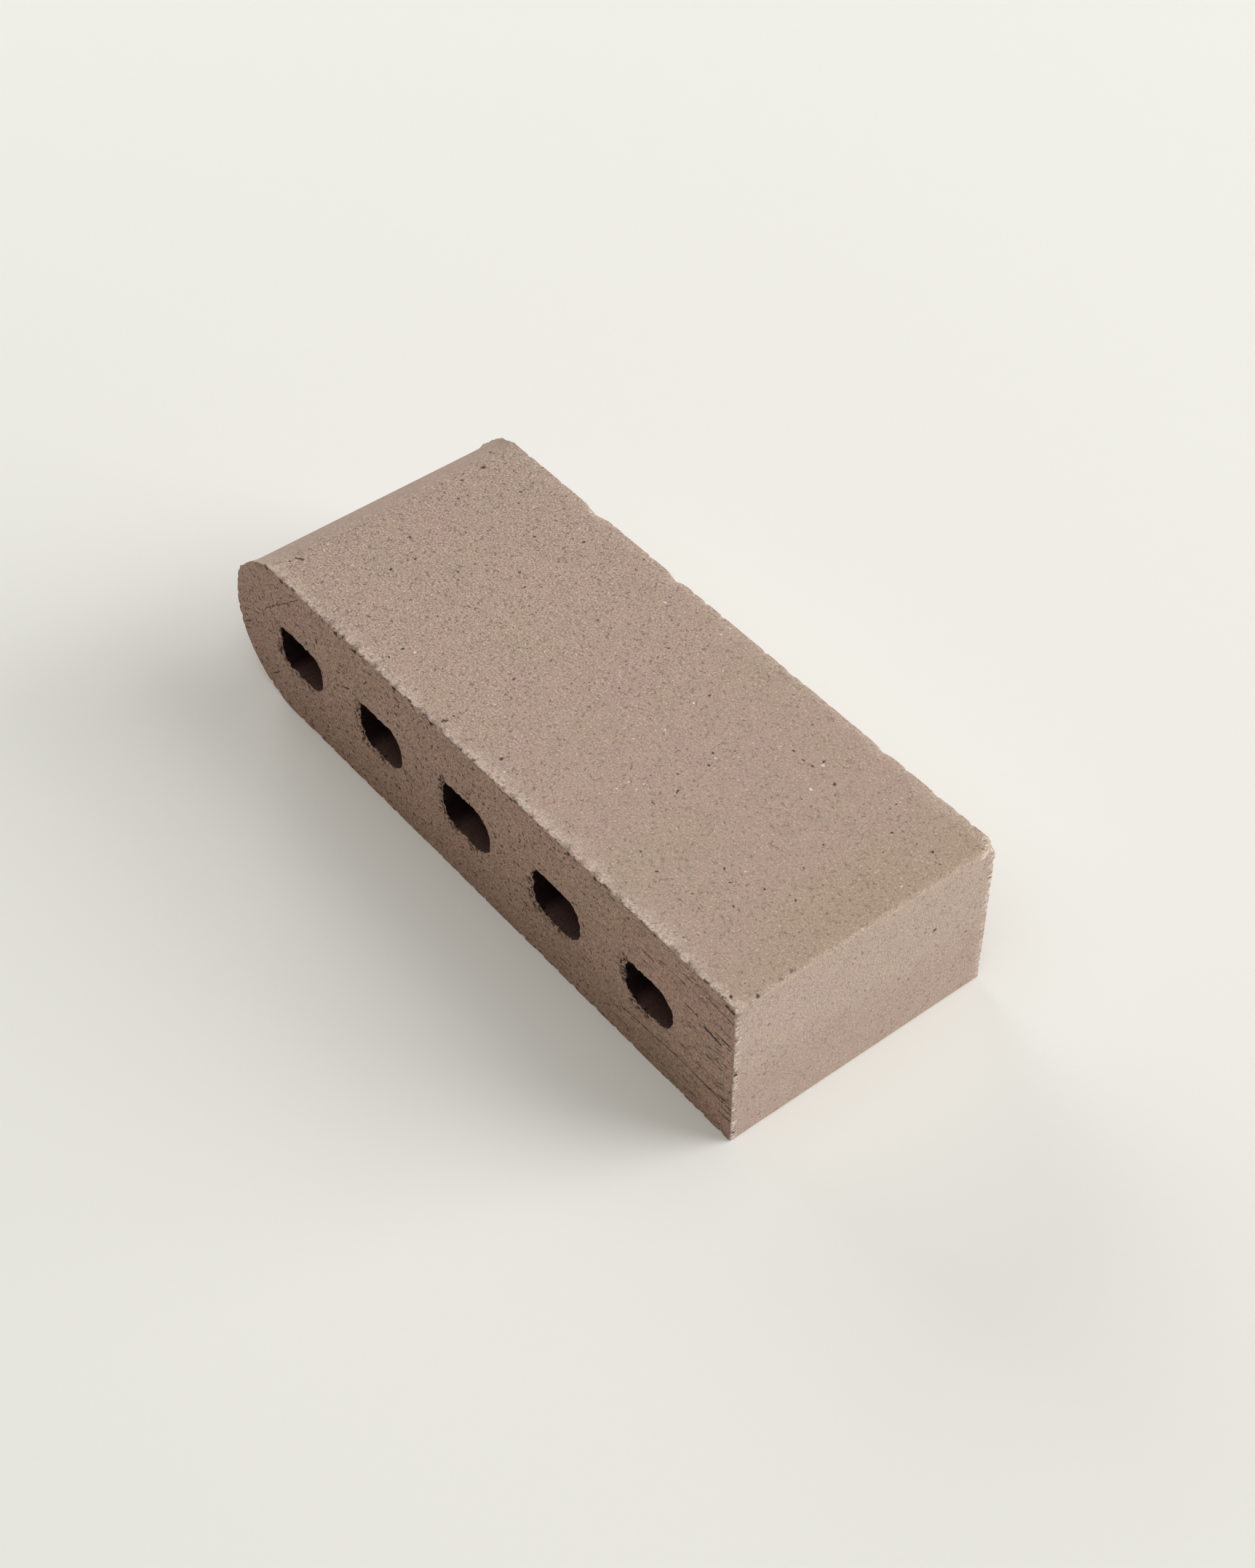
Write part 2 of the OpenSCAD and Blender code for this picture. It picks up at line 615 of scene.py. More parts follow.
def rim_tear(rim, gap):
    """How torn the clay is beside a core, from 0 to 1: most on the side that the wire left last.

    It is the part of the rim's normal that faces that side, made patchy by noise, and fades with the gap.
    """
    trailing = np.array([-0.95, -0.30])
    side = np.clip(rim[:, 2:] @ trailing + 0.15, 0, 1)
    patchy = np.clip(0.75 + noise(np.insert(rim[:, :2], 1, 0, axis=1), 4.0, SHIFT.patch), 0, 1)
    return side * patchy * fade(gap, TEAR_REACH)


def relief(points, normals, gap, rim, size, wear):
    """Points of the even shape moved by the wear, with values of each for the finishes.

    A lip stands up round the ends of the nose, falling by a square with the distance from the cut face.
    Chips break the cut edges: their depth, from noise at the nearest point of the edge and from the
    notches, falls in a straight line with the distance from the edge, and the points move by it along
    the normals of both faces. Rims move along their own normals by noise at the rim. All faces move
    along their normals by noise of their own. No point leaves the box of the even shape.
    """
    half = size.width / 2
    nose = size.thickness / 2
    side = np.sign(points[:, 1])
    depth = half - np.abs(points[:, 1])
    inset, out = section_gap(points, size)
    edge = np.maximum(inset, depth)
    on_edge = points.copy()
    on_edge[:, [0, 2]] += inset[:, None] * out
    on_edge[:, 1] = side * half

    turn = np.degrees(np.arctan2(points[:, 2] - nose, points[:, 0] + size.length / 2 - nose))
    on_lip = np.interp(turn, LIP_TURN, (0, 1, 1, 0))
    lip = wear.lip_height * on_lip * np.clip(1 - depth / LIP_REACH, 0, 1) ** 2 * fade(inset, LIP_INSET)
    lip *= 1 + 0.6 * noise(on_edge, 1.4, SHIFT.lip)
    chip = wear.chip_depth * np.clip(1.2 * fractal(on_edge, 1.7, SHIFT.chip) + 0.1, 0, 1) ** 1.3
    chip *= np.where(side < 0, 1, BACK_CHIPS) * (1 - (1 - LIP_CHIPS) * on_lip)
    chip *= np.where(out[:, 1] < -FACING, BED_CHIPS, 1) * np.where(out[:, 0] < -FACING, NOSE_CHIPS, 1)
    front_notch = notch_depth(on_edge[:, 0], FRONT_NOTCHES)
    notch = np.where(side < 0, front_notch, notch_depth(on_edge[:, 0], BACK_NOTCHES))
    notch = np.where(out[:, 1] > FACING, notch, 0)
    lost = np.clip(np.maximum(chip, notch) - CHIP_SLOPE * edge, 0, None)
    pull = 0.6 + 0.4 * noise(on_edge, 1.7, SHIFT.pull)
    moved = points.copy()
    moved[:, [0, 2]] += (lip - lost)[:, None] * out
    moved[:, 1] -= lost * pull * side
    for corner, reach in BROKEN_CORNERS:
        outside, look = broken_corner(moved, corner, reach)
        moved -= outside[:, None] * look

    beside_rim = np.column_stack([rim[:, 0], side * half, rim[:, 1]])
    jag = wear.rim_jag * (fractal(beside_rim, 1.3, SHIFT.rim) - 0.2)
    jag *= np.clip(0.75 - 0.5 * rim[:, 2], 0.5, 1)
    moved[:, [0, 2]] += (jag * fade(gap, RIM_REACH))[:, None] * rim[:, 2:]

    tear = rim_tear(rim, gap)
    on_cut = fade(depth, 0.5) * (inset > 0.2)
    on_core = (gap < FAR) & (on_cut < 0.5)
    on_skin = gap >= FAR
    dragged = np.interp(points[:, 0], DRAG_SPAN, (0, 1))
    drag = fractal(points, (14.0, 2.0, 2.2), SHIFT.drag, 2)
    sunk = on_cut * wear.cut_roughness * (0.5 + 0.5 * fractal(points, 3.2, SHIFT.cut))
    sunk += on_cut * dragged * wear.drag_depth * (0.5 + 0.5 * drag)
    sunk += tear * wear.tear_depth * np.clip(fractal(points, 1.5, SHIFT.tear) + 0.25, 0, 1)
    sunk += on_core * wear.core_roughness * fractal(points, (2.4, 16.0, 2.4), SHIFT.core)
    wave = 0.5 + 0.5 * noise(points, 24.0, SHIFT.skin)
    sunk += on_skin * wear.skin_waviness * wave * (1 - fade(edge, 6.0))
    values = {"edge_gap": edge * MM, "rim_gap": gap * MM, "tear": tear}
    return np.clip(moved - sunk[:, None] * normals, node_low / MM, node_high / MM), values


def paver_surface(size, wear, core_x):
    """The paver's whole surface in millimetres, welded shut: points, faces, finishes and wear by point."""
    cells = outline_cells(size, core_x)
    half = np.array([size.core_length, size.core_height]) / 2
    even_edges = (-half[0], half[0], -half[1], half[1])
    patches = [skin_patch(cells, size)]
    for cell, x, mouth_row in zip(cells, core_x, CORE_MOUTHS):
        centre = (x, size.thickness / 2)
        counts = [len(side) for side in cell]
        bore = core_outline(centre, even_edges, [size.core_corner] * 4, counts)
        mouth = core_outline(centre, mouth_row[:4], mouth_row[4:], counts)
        patches.append(cut_patch(cell, mouth, -size.width / 2, FRONT_RINGS, size))
        patches.append(cut_patch(cell, bore, size.width / 2, BACK_RINGS, size))
        patches.append(core_patch(mouth, bore, size))
    starts = np.cumsum([0, *(patch.rim_gap.size for patch in patches)])
    faces = np.vstack([patch_faces(patch, start) for patch, start in zip(patches, starts)])
    finishes = np.repeat(
        [patch.finish for patch in patches],
        [(patch.rim_gap.shape[0] - 1) * patch.rim_gap.shape[1] for patch in patches],
    )
    points = np.vstack([patch.points.reshape(-1, 3) for patch in patches])
    gap = np.concatenate([patch.rim_gap.ravel() for patch in patches])
    rim = np.vstack([np.tile(patch.rim, (len(patch.rim_gap), 1)) for patch in patches])
    first, place = weld(points)
    faces = place[faces]
    points = points[first]
    moved, values = relief(points, point_normals(points, faces), gap[first], rim[first], size, wear)
    return moved, faces, finishes, values


def clay_mesh(name, points, faces, finishes, values):
    """A smooth mesh object from points in millimetres, with a finish for each face and values by point."""
    mesh = bpy.data.meshes.new(name)
    mesh.from_pydata((points * MM).tolist(), [], faces.tolist())
    mesh.polygons.foreach_set("material_index", finishes.astype(np.int32))
    mesh.shade_smooth()
    for key, value in values.items():
        mesh.attributes.new(key, "FLOAT", "POINT").data.foreach_set("value", value.astype(np.float32))
    mesh.update()
    piece = bpy.data.objects.new(name, mesh)
    bpy.context.scene.collection.objects.link(piece)
    return piece


# The finishes: benches that add nodes, the groups that the finishes share, and one function for each

MIDDLE = (0.5, 0.5, 0.5)
ORIGIN = (0, 0, 0)
WHITE = (1, 1, 1, 1)
SOCKET_KINDS = {1: "Float", 3: "Vector", 4: "Color"}


def solid(colour):
    """A property's colour with the alpha that a socket takes, or a socket as it is."""
    return colour if isinstance(colour, bpy.types.NodeSocket) else (*colour, 1.0)


class NodeBench:
    """Adds nodes to one tree. An input that is a socket is linked, and any other value is set."""

    def __init__(self, tree):
        self.tree = tree

    def add(self, kind, inputs, **settings):
        """A new shader node with its settings, and its inputs by name or by number."""
        node = self.tree.nodes.new("ShaderNode" + kind)
        for name, value in settings.items():
            setattr(node, name, value)
        for name, value in inputs.items():
            if isinstance(value, bpy.types.NodeSocket):
                self.tree.links.new(value, node.inputs[name])
            else:
                node.inputs[name].default_value = value
        return node

    def place(self):
        """The point on the piece, in its own coordinates."""
        return self.add("TexCoord", {}).outputs["Object"]

    def value(self, name):
        """A value that the mesh holds at its points."""
        return self.add("Attribute", {}, attribute_name=name).outputs["Fac"]

    def math(self, operation, *values):
        """One sum of two or three numbers."""
        return self.add("Math", dict(enumerate(values)), operation=operation).outputs[0]

    def times(self, *values):
        """The product of numbers."""
        return reduce(lambda first, second: self.math("MULTIPLY", first, second), values)

    def most(self, *values):
        """The largest of numbers."""
        return reduce(lambda first, second: self.math("MAXIMUM", first, second), values)

    def vector(self, operation, *values):
        """One sum of two vectors."""
        return self.add("VectorMath", dict(enumerate(values)), operation=operation).outputs["Vector"]

    def dot(self, first, second):
        """The dot product of two vectors."""
        return self.add("VectorMath", {0: first, 1: second}, operation="DOT_PRODUCT").outputs["Value"]

    def scaled(self, vector, factor):
        """A vector or a colour times a number."""
        return self.add("VectorMath", {0: vector, "Scale": factor}, operation="SCALE").outputs["Vector"]

    def ramp(self, value, start, end, low=0.0, high=1.0):
        """A smooth step of a value from low, at start, to high, at end."""
        inputs = {"Value": value, "From Min": start, "From Max": end, "To Min": low, "To Max": high}
        return self.add("MapRange", inputs, interpolation_type="SMOOTHSTEP").outputs[0]

    def where(self, mask, on, off):
        """One number where a mask is full, and by a smooth step another where it is empty."""
        return self.ramp(mask, 0.0, 1.0, off, on)

    def blend(self, share, first, second, kind="MIX"):
        """Two colours, each from a property or a socket, blended by a share."""
        inputs = {0: share, 6: solid(first), 7: solid(second)}
        return self.add("Mix", inputs, data_type="RGBA", blend_type=kind).outputs[2]

    def noise(self, place, size, detail=2.0, roughness=0.6):
        """Noise from 0 to 1 with features of that size in metres."""
        inputs = {"Vector": place, "Scale": 1 / size, "Detail": detail, "Roughness": roughness}
        return self.add("TexNoise", inputs).outputs["Fac"]

    def group(self, tree, **inputs):
        """A placed group, its inputs named with underscores for spaces."""
        named = {key.replace("_", " "): value for key, value in inputs.items()}
        return self.add("Group", named, node_tree=tree).outputs


class GroupBench(NodeBench):
    """Builds one shader node group. Its inputs are named with underscores for spaces, and have defaults."""

    def __init__(self, name, **defaults):
        super().__init__(bpy.data.node_groups.new(name, "ShaderNodeTree"))
        for label, default in defaults.items():
            socket = self.socket(label.replace("_", " "), "INPUT", SOCKET_KINDS[np.size(default)])
            socket.default_value = default
        self.given = self.tree.nodes.new("NodeGroupInput").outputs

    def socket(self, label, way, kind):
        """A new socket of the group."""
        return self.tree.interface.new_socket(label, in_out=way, socket_type="NodeSocket" + kind)

    def give(self, kind="Float", **values):
        """Links the values that the group puts out, and gives the group."""
        for label in values:
            self.socket(label, "OUTPUT", kind)
        exit_node = self.tree.nodes.new("NodeGroupOutput")
        for label, value in values.items():
            self.tree.links.new(value, exit_node.inputs[label])
        return self.tree


def mottle_group():
    """Clay in two tones: broad patches and small flecks of one in the other, and an unevenness of both."""
    bench = GroupBench("clay_mottle", Rosy=WHITE, Tan=WHITE)
    place = bench.place()
    patches = bench.ramp(bench.noise(place, 0.034, 3.0, 0.62), 0.35, 0.65, 0.25, 0.75)
    flecks = bench.math("SUBTRACT", bench.noise(place, 0.0022, 2.0, 0.7), 0.5)
    share = bench.math("MULTIPLY_ADD", flecks, 2.3, patches)
    tones = {0: share, 6: bench.given["Rosy"], 7: bench.given["Tan"]}
    tone = bench.add("Mix", tones, data_type="RGBA", clamp_factor=False).outputs[2]
    uneven = bench.ramp(bench.noise(place, 0.006, 2.0), 0.3, 0.7, 0.97, 1.03)
    return bench.give("Color", Colour=bench.scaled(tone, uneven))


def speck_group():
    """Specks: in a share of the cells of a random pattern, a blot of random size with an uneven outline."""
    bench = GroupBench("clay_specks", Spacing=0.003, Share=0.5, Size=0.3, Softness=0.3, Shift=ORIGIN)
    given = bench.given
    place = bench.vector("ADD", bench.place(), given["Shift"])
    scale = bench.math("DIVIDE", 1.0, given["Spacing"])
    wobble = bench.add("TexNoise", {"Vector": place, "Scale": bench.times(scale, 2.4), "Detail": 2.0})
    offset = bench.vector("SUBTRACT", wobble.outputs["Color"], MIDDLE)
    bent = bench.vector("ADD", place, bench.scaled(offset, bench.times(given["Spacing"], 0.5)))
    cells = bench.add("TexVoronoi", {"Vector": bent, "Scale": scale}, voronoi_dimensions="3D", feature="F1")
    chance = bench.add("SeparateColor", {"Color": cells.outputs["Color"]}).outputs
    held = bench.math("LESS_THAN", chance[0], given["Share"])
    radius = bench.times(given["Size"], bench.where(chance[1], 1.0, 0.4))
    inner = bench.times(radius, bench.math("SUBTRACT", 1.0, given["Softness"]))
    outer = bench.times(radius, bench.math("ADD", 1.0, given["Softness"]))
    blot = bench.ramp(cells.outputs["Distance"], outer, inner)
    return bench.give(Mask=bench.times(blot, held))


def blot_group():
    """Blots: where noise of a given size, which can be stretched, rises above a level."""
    bench = GroupBench(
        "clay_blots", Size=0.001, Level=0.6, Softness=0.1, Detail=2.5, Stretch=(1, 1, 1), Shift=ORIGIN
    )
    given = bench.given
    place = bench.vector("ADD", bench.vector("MULTIPLY", bench.place(), given["Stretch"]), given["Shift"])
    scale = bench.math("DIVIDE", 1.0, given["Size"])
    inputs = {"Vector": place, "Scale": scale, "Detail": given["Detail"], "Roughness": 0.6}
    cloud = bench.add("TexNoise", inputs).outputs["Fac"]
    full = bench.math("ADD", given["Level"], given["Softness"])
    return bench.give(Mask=bench.ramp(cloud, given["Level"], full))


def grain_group():
    """Sandy grain: fine noise as a tone about 1 and as a height in metres."""
    bench = GroupBench("sand_grain", Tone=0.1, Depth=0.0001)
    fine = bench.noise(bench.place(), 0.00055, 1.5, 0.6)
    swing = bench.times(bench.math("SUBTRACT", fine, 0.5), 4.0)
    tone = bench.math("MULTIPLY_ADD", swing, bench.given["Tone"], 1.0)
    return bench.give(Tone=tone, Height=bench.times(swing, bench.given["Depth"]))


def chalk_group():
    """Bare pale grains along the cut edges: a band of uneven width, broken up by fine noise."""
    bench = GroupBench("chalky_edge", Reach=0.005, Strength=0.6)
    place = bench.place()
    sway = bench.ramp(bench.noise(place, 0.009, 3.0, 0.7), 0.3, 0.7, 0.25, 0.85)
    band = bench.ramp(bench.value("edge_gap"), bench.times(bench.given["Reach"], sway), 0.0)
    grains = bench.ramp(bench.noise(place, 0.0008, 3.0, 0.7), 0.40, 0.62, 0.1, 1.0)
    return bench.give(Mask=bench.times(band, grains, bench.given["Strength"]))


def mark_group():
    """A mark from one point to another: full within half of its half width of the line between them."""
    bench = GroupBench("clay_mark", Place=ORIGIN, Start=ORIGIN, End=ORIGIN, Half_Width=0.0004)
    given = bench.given
    along = bench.vector("SUBTRACT", given["Place"], given["Start"])
    run = bench.vector("SUBTRACT", given["End"], given["Start"])
    inputs = {0: bench.dot(along, run), 1: bench.dot(run, run)}
    share = bench.add("Math", inputs, operation="DIVIDE", use_clamp=True).outputs[0]
    off = bench.vector("SUBTRACT", along, bench.scaled(run, share))
    gap = bench.add("VectorMath", {0: off}, operation="LENGTH").outputs["Value"]
    inner = bench.times(given["Half Width"], 0.5)
    outer = bench.times(given["Half Width"], 1.3)
    return bench.give(Mask=bench.ramp(gap, outer, inner))


class ClayBench(NodeBench):
    """Builds up one clay finish: a ground of two tones, and colours laid over it where their masks are."""

    def __init__(self, name, groups):
        self.material = bpy.data.materials.new(name)
        self.material.use_nodes = True
        super().__init__(self.material.node_tree)
        self.groups = groups
        self.colour = None

    def axes(self):
        """The point's places along the length, across the width and above the bed."""
        return self.add("SeparateXYZ", {0: self.place()}).outputs

    def ground(self, rosy, tan):
        """Starts the finish with mottled clay."""
        self.colour = self.group(self.groups.mottle, Rosy=solid(rosy), Tan=solid(tan))["Colour"]

    def cover(self, colour, *masks, kind="MIX"):
        """Lays a colour over the clay, by the product of the masks."""
        self.colour = self.blend(self.times(*masks), self.colour, colour, kind)

    def shade(self, factor):
        """Lightens or darkens the clay so far."""
        self.colour = self.scaled(self.colour, factor)

    def blots(self, **inputs):
        """A mask of blots."""
        return self.group(self.groups.blots, **inputs)["Mask"]

    def specks(self, **inputs):
        """A mask of specks."""
        return self.group(self.groups.specks, **inputs)["Mask"]

    def frayed(self):
        """The point on the piece, swayed by fine noise, so that marks set there have frayed outlines."""
        place = self.place()
        fray = self.add("TexNoise", {"Vector": place, "Scale": 900.0, "Detail": 3.0, "Roughness": 0.7})
        sway = self.scaled(self.vector("SUBTRACT", fray.outputs["Color"], MIDDLE), 0.0014)
        return self.vector("ADD", place, sway)

    def marks(self, place, rows):
        """Where any of the marks lies: each row has its start, end and half width, in millimetres."""
        whole = 0.0
        for start, end, half_width in rows:
            ends = {"Start": Vector(start) * MM, "End": Vector(end) * MM}
            mark = self.group(self.groups.mark, Place=place, Half_Width=half_width * MM, **ends)
            whole = self.most(whole, mark["Mask"])
        return whole

    def finish(self, grain, roughness, height):
        """Links the colour, the roughness and the height in metres to a matt shader: the material.

        The roughness goes from its first value, in dark grains, to its second, in pale ones.
        """
        shader = self.tree.nodes["Principled BSDF"]
        shader.inputs["Specular IOR Level"].default_value = 0.25
        bump = self.add("Bump", {"Strength": 1.0, "Distance": 1.0, "Height": height})
        self.tree.links.new(self.colour, shader.inputs["Base Color"])
        self.tree.links.new(self.ramp(grain["Tone"], 0.8, 1.2, *roughness), shader.inputs["Roughness"])
        self.tree.links.new(bump.outputs["Normal"], shader.inputs["Normal"])
        return self.material


def skin_finish(groups, colours):
    """The die-formed skin: rosy and tan clay with sandy grain, grey grains, specks and chalky edges."""
    bench = ClayBench("die_skin", groups)
    along, across_width, above_bed = bench.axes()
    edge_gap = bench.value("edge_gap")
    frayed_place = bench.frayed()
    on_top = bench.ramp(above_bed, node_high.z - 0.0010, node_high.z - 0.0005)
    off_top = bench.math("SUBTRACT", 1.0, on_top)
    on_end = bench.times(bench.ramp(along, node_high.x - 0.0008, node_high.x - 0.0004), off_top)
    off_nose = bench.ramp(along, -0.099, -0.091, 0.4, 1.0)
    cloud = bench.noise(bench.place(), 0.022, 3.0)

    # The clay, with the shade low on the square end, and the ochre wash on the top beside it, painted shade
    # on the arris
    sandy = bench.times(bench.ramp(along, -0.06, 0.08, 0.50, 0.24), off_nose)
    grain = bench.group(groups.grain, Tone=sandy, Depth=0.00004)
    rosy = bench.blend(on_end, colours.rosy_clay, colours.end_rosy)
    tan = bench.blend(on_end, colours.tan_clay, colours.end_tan)
    bench.ground(rosy, tan)
    cloudy_height = bench.math("MULTIPLY_ADD", cloud, 0.012, above_bed)
    low = bench.times(bench.ramp(cloudy_height, 0.038, 0.024), on_end)
    bench.cover(colours.low_shade, low, kind="MULTIPLY")
    # Ochre wash: stained clay on the top, and painted shade where it runs down the arris to about its middle
    stain_and_arris_shade = bench.times(
        bench.ramp(along, 0.084, 0.110, 0.0, 0.65),
        on_top,
        bench.ramp(across_width, -0.042, -0.008, 0.25, 1.0),
        bench.ramp(cloud, 0.3, 0.65, 0.5, 1.0),
    )
    bench.cover(colours.ochre_stain_and_arris_shade, stain_and_arris_shade)
    bench.shade(bench.times(grain["Tone"], bench.ramp(along, -0.03, -0.11, 1.0, 0.95)))

    # Grains and specks, coarser towards the nose and fewer on it
    coarse = bench.times(bench.ramp(along, -0.05, 0.09, 0.9, 0.65), bench.where(on_end, 0.8, 1.0), off_nose)
    smudges = bench.blots(Size=0.0010, Level=0.53, Softness=0.30, Detail=1.0)
    bench.cover(colours.smudge, smudges, coarse)
    pale = bench.blots(Size=0.0008, Level=0.58, Softness=0.22, Detail=1.0, Shift=(3, 1, 2))
    bench.cover(colours.chalk, pale, coarse, 0.8)
    yellow = bench.specks(Spacing=0.003, Share=0.3, Size=0.1, Softness=0.5, Shift=(3, 1, 2))
    bench.cover(colours.ochre, yellow, bench.ramp(stain_and_arris_shade, 0.0, 0.7, 0.45, 0.9))
    white = bench.specks(Spacing=0.004, Share=0.4, Size=0.09, Softness=0.4, Shift=(7, 5, 1))
    bench.cover(colours.quartz, white, 0.8)

    # Bare grains along the cut edges and where the clay broke
    reach = bench.where(on_top, 0.0095, 0.0008)
    bareness = bench.times(
        bench.ramp(along, -0.06, 0.08, 0.45, 0.7), bench.ramp(across_width, -0.01, 0.01, 1.0, 0.5)
    )
    chalk = bench.group(groups.chalk, Reach=reach, Strength=bareness)["Mask"]
    strokes = bench.blots(Size=0.0007, Level=0.48, Softness=0.14, Stretch=(1, 0.25, 1), Shift=(4, 7, 2))
    strokes = bench.times(strokes, bench.ramp(edge_gap, 0.0030, 0.0004, 0.0, 0.9), on_end)
    bare = bench.blots(Size=0.0009, Level=0.47, Softness=0.06, Shift=(5, 5, 5))
    bare = bench.times(bare, bench.marks(frayed_place, BARE_BREAKS))
    bench.cover(colours.chalk, bench.most(chalk, strokes, bare))

    # Dark specks and spots, and broken edges in painted shade
    black = bench.specks(Spacing=0.0042, Share=0.6, Size=0.12, Softness=0.3, Shift=(2, 9, 4))
    black = bench.times(black, bench.ramp(along, node_high.x - 0.0030, node_high.x - 0.0020, 1.0, 0.5))
    spots = bench.marks(frayed_place, [(place, place, half_width) for *place, half_width in SPOTS])
    dots = bench.blots(Size=0.0009, Level=0.5, Softness=0.06)
    dots = bench.times(dots, bench.marks(bench.place(), [PIT_ROW]), 0.6)
    spots = bench.most(black, spots, dots, bench.marks(frayed_place, [SCRATCH]))
    # Painted shade: bites are broken facets along the cut edges that face away from the light, painted dark
    bite_dents_and_shade = bench.times(
        bench.blots(Size=0.0013, Level=0.53, Softness=0.06, Shift=(1, 8, 3)),
        bench.ramp(edge_gap, 0.0011, 0.0002, 0.0, 0.8),
        bench.ramp(bench.noise(bench.place(), 0.005), 0.43, 0.56, 0.1, 1.0),
        bench.ramp(across_width, 0.001, -0.001, 0.25, 1.0),
        bench.where(on_end, 0.3, 1.0),
    )
    cracks = bench.blots(Size=0.0010, Level=0.62, Softness=0.05, Stretch=(1, 0.35, 1), Shift=(6, 3, 9))
    cracks = bench.times(cracks, bench.ramp(edge_gap, 0.0024, 0.0012, 0.0, 0.9), on_end)
    bite_dents_and_shade = bench.most(bite_dents_and_shade, cracks)
    bench.cover(colours.cinder_and_hollow_shade, bench.most(bite_dents_and_shade, bench.times(spots, 0.85)))
    height = bench.math("MULTIPLY_ADD", bite_dents_and_shade, -0.00015, grain["Height"])
    return bench.finish(grain, (0.95, 0.82), height)


def cut_finish(groups, colours):
    """A wire-cut face: browner clay with coarse grain and pits in painted shade, dragged out near the square
    end.
    """
    bench = ClayBench("wire_cut_face", groups)
    along, _, above_bed = bench.axes()
    edge_gap = bench.value("edge_gap")
    frayed_place = bench.frayed()
    near_end = bench.ramp(along, 0.02, 0.095)
    tear = bench.ramp(bench.value("tear"), 0.02, 0.35)

    # The clay, darkened towards the bed by painted shade, and its pale, yellow and red-brown grains
    grain = bench.group(groups.grain, Tone=bench.ramp(along, -0.05, 0.08, 0.56, 0.46), Depth=0.00008)
    bench.ground(colours.cut_rosy, colours.cut_tan)
    # Painted shade towards the bed
    bench.cover(colours.cut_bed_painted_shade, bench.ramp(above_bed, 0.045, -0.01), kind="MULTIPLY")
    bench.shade(grain["Tone"])
    pale = bench.blots(Size=0.0007, Level=0.61, Softness=0.15, Shift=(6, 1, 7))
    bench.cover(colours.chalk, pale, bench.where(tear, 1.0, 0.55))
    flecks = bench.blots(Size=0.0009, Level=0.65, Softness=0.06, Shift=(4, 4, 1))
    bench.cover(colours.ochre, flecks, 0.7)
    rust = bench.blots(Size=0.0010, Level=0.62, Softness=0.15, Shift=(9, 2, 5))
    bench.cover(colours.rust, rust, 0.4)
    chalk = bench.blots(Size=0.0011, Level=0.56, Softness=0.06, Shift=(8, 3, 2))
    bench.cover(colours.chalk, chalk, bench.ramp(edge_gap, 0.0008, 0.0002, 0.0, 0.7))

    # Pits, drag marks and torn clay, and the gashes and notches that are listed
    pits = bench.blots(Size=0.0013, Level=0.58, Softness=0.10, Detail=4.0, Stretch=(0.85, 1, 1))
    pits = bench.times(pits, bench.where(near_end, 0.5, 0.95))
    holes = bench.blots(
        Size=0.0014, Level=0.64, Softness=0.05, Detail=4.0, Stretch=(0.6, 1, 1), Shift=(2, 2, 8)
    )
    drags = bench.blots(Size=0.0008, Level=0.575, Softness=0.18, Stretch=(0.12, 1, 1), Shift=(5, 2, 6))
    crumbs = bench.blots(Size=0.0013, Level=0.46, Softness=0.12, Shift=(1, 8, 3))
    broken = bench.times(
        crumbs,
        bench.ramp(edge_gap, 0.0011, 0.0003, 0.0, 0.55),
        bench.ramp(above_bed, 0.048, 0.053, 0.5, 1.0),
    )
    sunk = bench.most(pits, holes, bench.times(drags, near_end), bench.times(crumbs, tear), broken)
    gashes = [((x0, FRONT_Y, z0), (x1, FRONT_Y, z1), half_width) for x0, z0, x1, z1, half_width in GASHES]
    notches = [((x, FRONT_Y, TOP_Z - depth), (x, FRONT_Y, TOP_Z), half) for x, half, depth in FRONT_NOTCHES]
    worn = bench.ramp(bench.noise(bench.place(), 0.0024, 2.0, 0.7), 0.34, 0.48, 0.5, 1.0)
    dark = bench.times(bench.marks(frayed_place, gashes), worn)
    dark = bench.most(dark, bench.marks(frayed_place, notches), sunk)
    # Painted shade: the pits, holes, drag marks, crumbs, gashes and notches are darkened for the shade in
    # them
    bench.cover(colours.cinder_and_hollow_shade, dark, 0.88)
    height = bench.math("MULTIPLY_ADD", sunk, -0.0003, grain["Height"])
    return bench.finish(grain, (0.98, 0.86), height)


def core_finish(groups, colours):
    """A core's wall in painted shade: dark purple-brown, paler on its floor at the mouth, with a rim of cut
    clay.
    """
    bench = ClayBench("core_wall", groups)
    along, across_width, above_bed = bench.axes()
    grain = bench.group(groups.grain, Tone=0.2, Depth=0.00012)
    at_mouth = bench.ramp(across_width, node_low.y + 0.018, node_low.y + 0.004)
    half_pitch = (core_boxes[1][0][0] - core_boxes[0][0][0]) / 2
    from_middle = bench.math("WRAP", along, half_pitch, -half_pitch)
    off_wall = bench.ramp(from_middle, -0.0085, -0.0035)
    on_floor = bench.times(bench.ramp(above_bed, 0.0228, 0.0200), off_wall)
    # Painted shade: paler on the floor at the mouth, where light reaches in, and near black on the walls
    wall = bench.blend(bench.times(at_mouth, on_floor), colours.core_wall_painted_shade, colours.core_clay)
    reach = bench.ramp(bench.noise(bench.place(), 0.002), 0.35, 0.65, 0.0001, 0.0009)
    bench.ground(colours.cut_rosy, colours.cut_tan)
    bench.cover(wall, bench.ramp(bench.value("rim_gap"), 0.0, reach))
    bench.shade(grain["Tone"])
    return bench.finish(grain, (0.98, 0.88), grain["Height"])


# The operators, one for the paver and one for its stage


